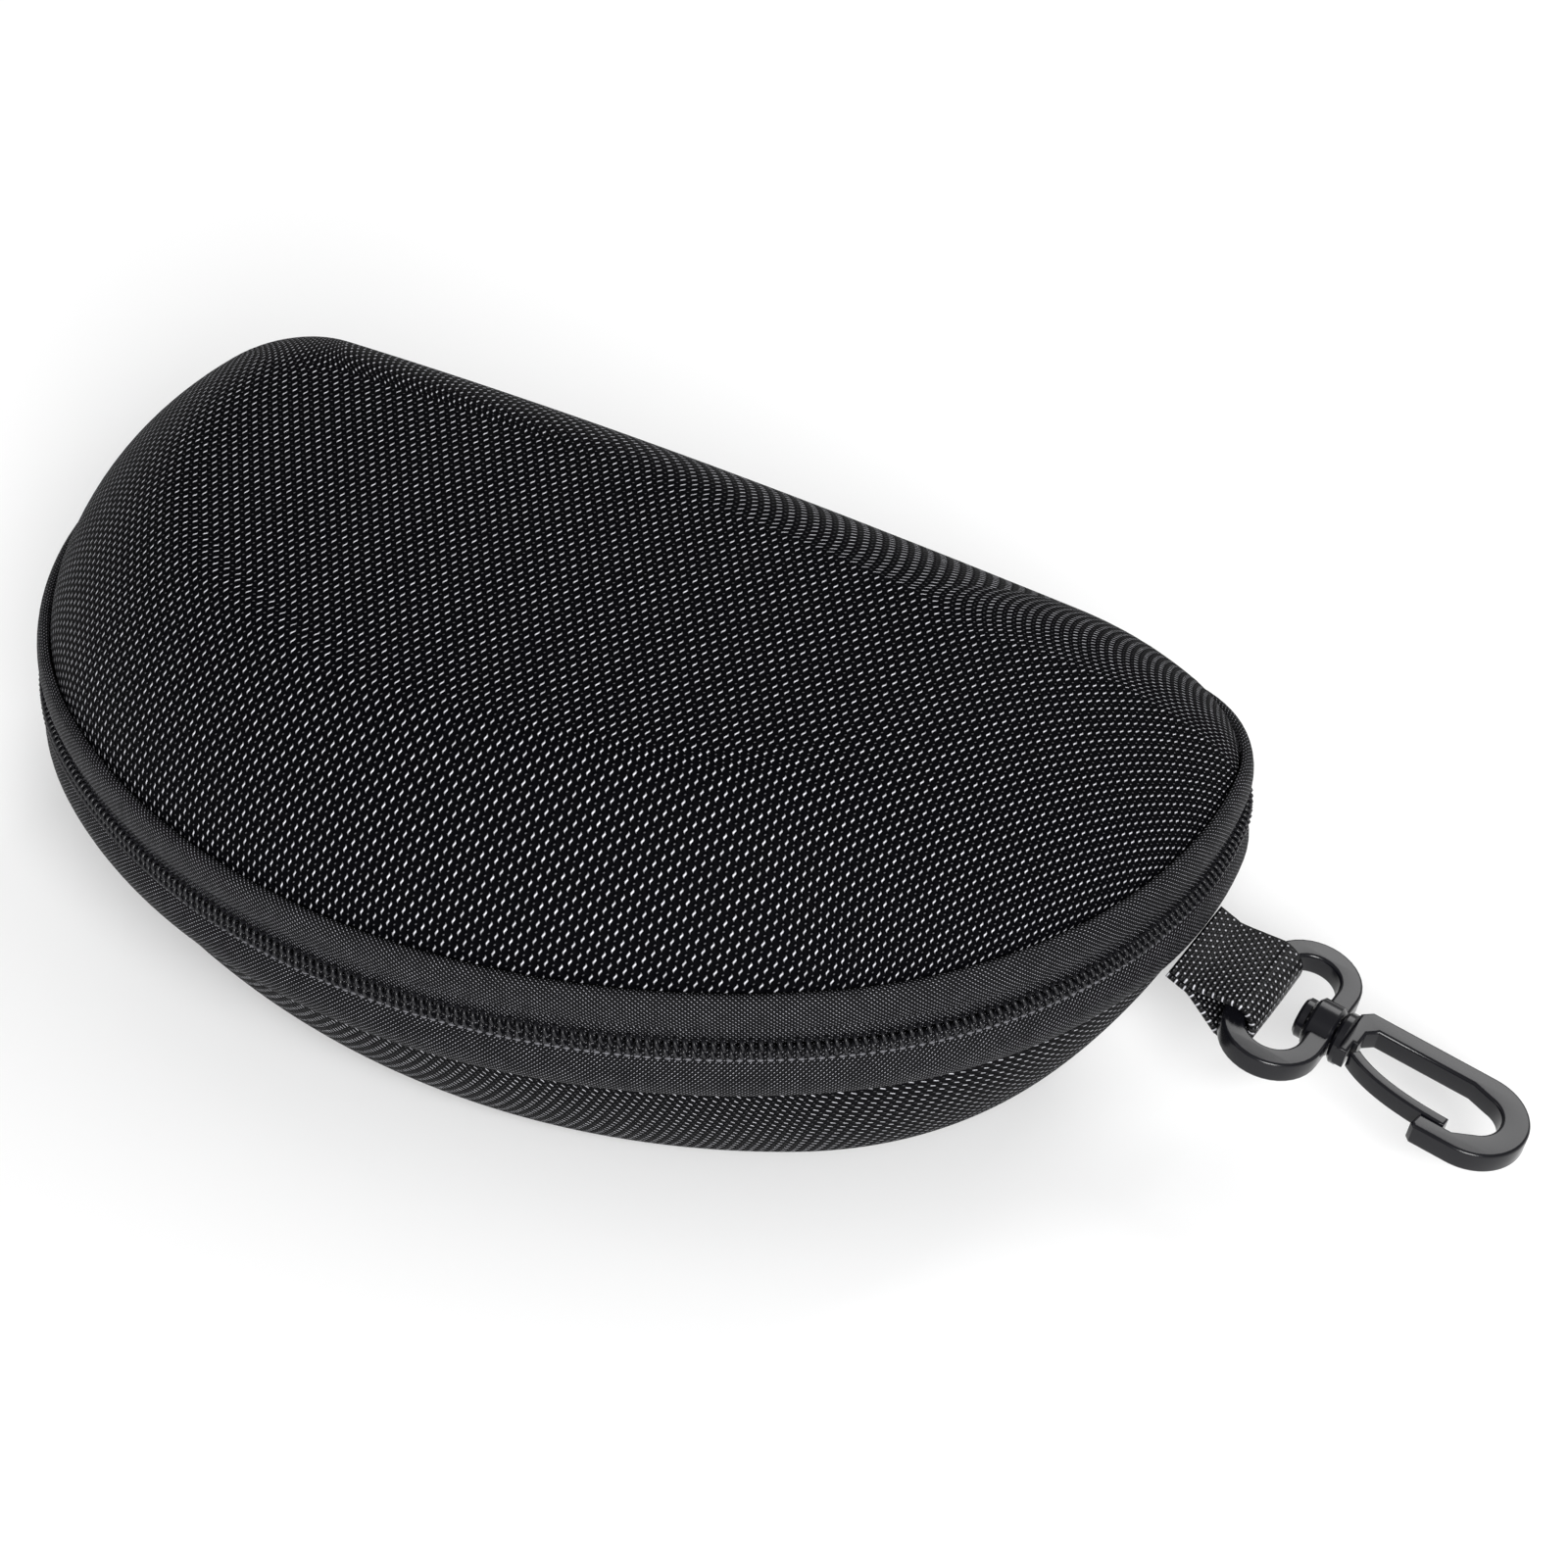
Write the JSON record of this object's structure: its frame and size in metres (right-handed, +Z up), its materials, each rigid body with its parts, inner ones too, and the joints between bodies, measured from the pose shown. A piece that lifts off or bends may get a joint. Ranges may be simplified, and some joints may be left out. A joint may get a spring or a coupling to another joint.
{
  "type": "eyeglasses case",
  "caption": "Black zipped hard-shell eyeglasses case, half-moon shaped, ballistic-weave fabric over moulded foam, with a webbing loop and plastic swivel snap hook at one end.",
  "frame": {"origin": "centre of the flat patch that the lower shell rests on", "axes": "+Z up; +X along the back hinge towards the snap hook; -Y towards the zipped front"},
  "size_m": [0.2058, 0.0997, 0.0707],
  "materials": {
    "ballistic": "black ballistic-weave polyester",
    "foam": "moulded EVA foam, dark grey",
    "knit": "black brushed knit lining",
    "zip_tape": "black woven zip tape",
    "coil": "black nylon coil",
    "binding": "black binding tape",
    "nickel": "dark nickel-plated zinc",
    "webbing": "black ribbed polypropylene webbing",
    "acetal": "charcoal moulded acetal, semi-gloss"
  },
  "bodies": {
    "lower_half": {"lower_cover": "ballistic", "lower_core": "foam", "lower_lining": "knit", "lower_binding": "binding", "lower_zip_tape": "zip_tape", "lower_zip_coil": "coil", "hinge_strip": "ballistic", "hinge_lining": "knit"},
    "upper_half": {"upper_cover": "ballistic", "upper_core": "foam", "upper_lining": "knit", "upper_binding": "binding", "upper_zip_tape": "zip_tape", "upper_zip_coil": "coil"},
    "zip_slider": {"slider": "nickel"},
    "slider_tab": {"pull_tab": "nickel"},
    "loop": {"webbing_loop": "webbing"},
    "ring": {"swivel_ring": "acetal"},
    "hook": {"snap_hook": "acetal"},
    "gate": {"hook_gate": "acetal"}
  },
  "joints": [
    {"name": "lid_hinge", "type": "hinge", "parent": "lower_half", "child": "upper_half", "pos_m": [0, 0.05285, 0.0335], "axis": [-1, 0, 0], "range_deg": [0, 165], "deforming": ["hinge_strip", "hinge_lining", "upper_zip_tape", "lower_zip_tape"]},
    {"name": "slider_travel", "type": "hinge", "parent": "lower_half", "child": "zip_slider", "pos_m": [0.06106, 0.03425, 0.0335], "axis": [0, 0, 1], "range_deg": [-50, 0], "deforming": ["upper_zip_coil", "lower_zip_coil"]},
    {"name": "tab_swing", "type": "hinge", "parent": "zip_slider", "child": "slider_tab", "pos_m": [0.06718, 0.05428, 0.0335], "axis": [0, 0, -1], "range_deg": [0, 165]},
    {"name": "loop_flex", "type": "hinge", "parent": "lower_half", "child": "loop", "pos_m": [0.0793, 0.02425, 0.0246], "axis": [0, 1, 0], "range_deg": [-30, 35]},
    {"name": "ring_swing", "type": "hinge", "parent": "loop", "child": "ring", "pos_m": [0.0878, 0.02425, 0.0203], "axis": [0, 1, 0], "range_deg": [-60, 60]},
    {"name": "hook_swivel", "type": "hinge", "parent": "ring", "child": "hook", "pos_m": [0.0991, 0.02425, 0.0179], "axis": [0.9781, 0, -0.2079], "continuous": true},
    {"name": "gate_flex", "type": "hinge", "parent": "hook", "child": "gate", "pos_m": [0.10223, 0.02195, 0.01723], "axis": [0.2079, 0, 0.9781], "range_deg": [0, 15], "stiffness_Nm_per_rad": 0.01}
  ]
}
